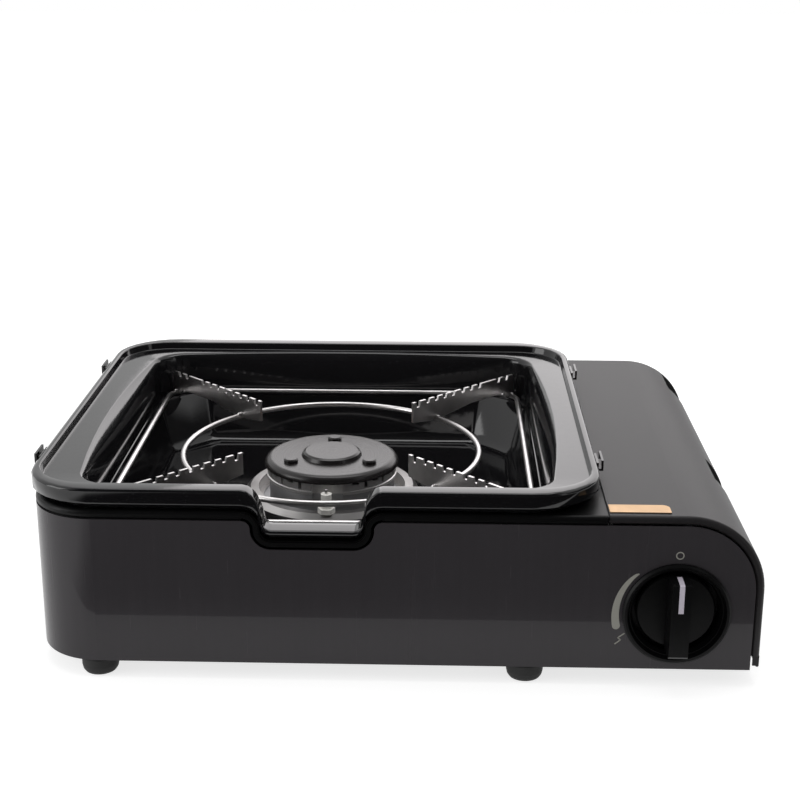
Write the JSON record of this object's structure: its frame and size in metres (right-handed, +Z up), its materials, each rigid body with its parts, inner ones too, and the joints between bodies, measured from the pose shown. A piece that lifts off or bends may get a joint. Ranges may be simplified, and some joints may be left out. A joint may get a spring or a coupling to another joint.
{
  "type": "portable gas stove",
  "caption": "Portable single-burner gas stove with a lift-off square enamel tray, wire pan support, hinged cartridge lid and a push-and-turn control knob.",
  "frame": {"origin": "on the table under the middle of the whole part's box", "axes": "+X to the user's right along the width, +Y to the back, +Z up; the knob is at the front, -Y"},
  "size_m": [0.3956, 0.3074, 0.109],
  "materials": {
    "body_steel": "satin black paint",
    "gunmetal": "glossy gunmetal paint",
    "deck_black": "satin black paint",
    "zinc": "zinc plated",
    "rubber": "matt",
    "casting": "die cast",
    "bright_steel": "polished",
    "flame_steel": "satin",
    "cap_steel": "satin",
    "brass": "turned",
    "magnet": "matt",
    "copper": "drawn copper",
    "ceramic": "glazed ceramic",
    "lead_white": "silicone sleeve",
    "black_plastic": "matt",
    "knob_black": "fine grained",
    "lid_grey": "matt dark grey paint",
    "gold": "satin gold plate, bare",
    "enamel": "glossy black enamel",
    "enamel_hooks": "glossy black",
    "wire_steel": "plated",
    "pointer": "pale inlay"
  },
  "bodies": {
    "body": {"base_pan": "body_steel", "outer_panel": "gunmetal", "top_deck": "deck_black", "bay_wall": "body_steel", "rubber_feet": "rubber", "foot_screws": "zinc", "burner_bracket": "zinc", "burner_body": "casting", "burner_skirt": "bright_steel", "flame_ring": "flame_steel", "burner_cap": "cap_steel", "cap_rivets": "cap_steel", "jet_bracket": "zinc", "jet_holder": "brass", "gas_pipe": "zinc", "valve_body": "casting", "valve_bracket": "zinc", "socket_plate": "zinc", "socket_magnets": "magnet", "flame_guard_unit": "brass", "thermocouple": "copper", "thermocouple_lead": "copper", "electrode": "ceramic", "electrode_pin": "bright_steel", "ignition_lead": "lead_white", "piezo_unit": "black_plastic", "cartridge_saddle": "zinc", "knob_bezel": "knob_black", "hinge_pin": "zinc"},
    "lid": {"cartridge_lid": "lid_grey", "lid_plate": "gold"},
    "tray": {"tray": "enamel", "tray_hooks": "enamel_hooks"},
    "pan_support": {"support_ring": "wire_steel", "support_frame": "wire_steel", "support_blade_1": "wire_steel", "support_blade_2": "wire_steel", "support_blade_3": "wire_steel", "support_blade_4": "wire_steel"},
    "press": {"push_rod": "zinc"},
    "knob": {"knob": "knob_black", "spindle": "zinc", "knob_pointer": "pointer"}
  },
  "joints": [
    {"name": "lid_hinge", "type": "hinge", "parent": "body", "child": "lid", "pos_m": [0.19425, 0.00635, 0.0137], "axis": [0, 1, 0], "range_deg": [0, 90]},
    {"name": "tray_lift", "type": "slide", "parent": "body", "child": "tray", "axis": [0, 0, 1], "range_m": [0, 0.1]},
    {"name": "pan_support_lift", "type": "slide", "parent": "tray", "child": "pan_support", "axis": [0, 0, 1], "range_m": [0, 0.08]},
    {"name": "knob_press", "type": "slide", "parent": "body", "child": "press", "axis": [0, 1, 0], "range_m": [0, 0.0028], "stiffness_N_per_m": 1500, "springref_m": -0.002},
    {"name": "knob_turn", "type": "hinge", "parent": "press", "child": "knob", "pos_m": [0.15205, -0.14365, 0.0427], "axis": [0, -1, 0], "range_deg": [0, 120]}
  ]
}
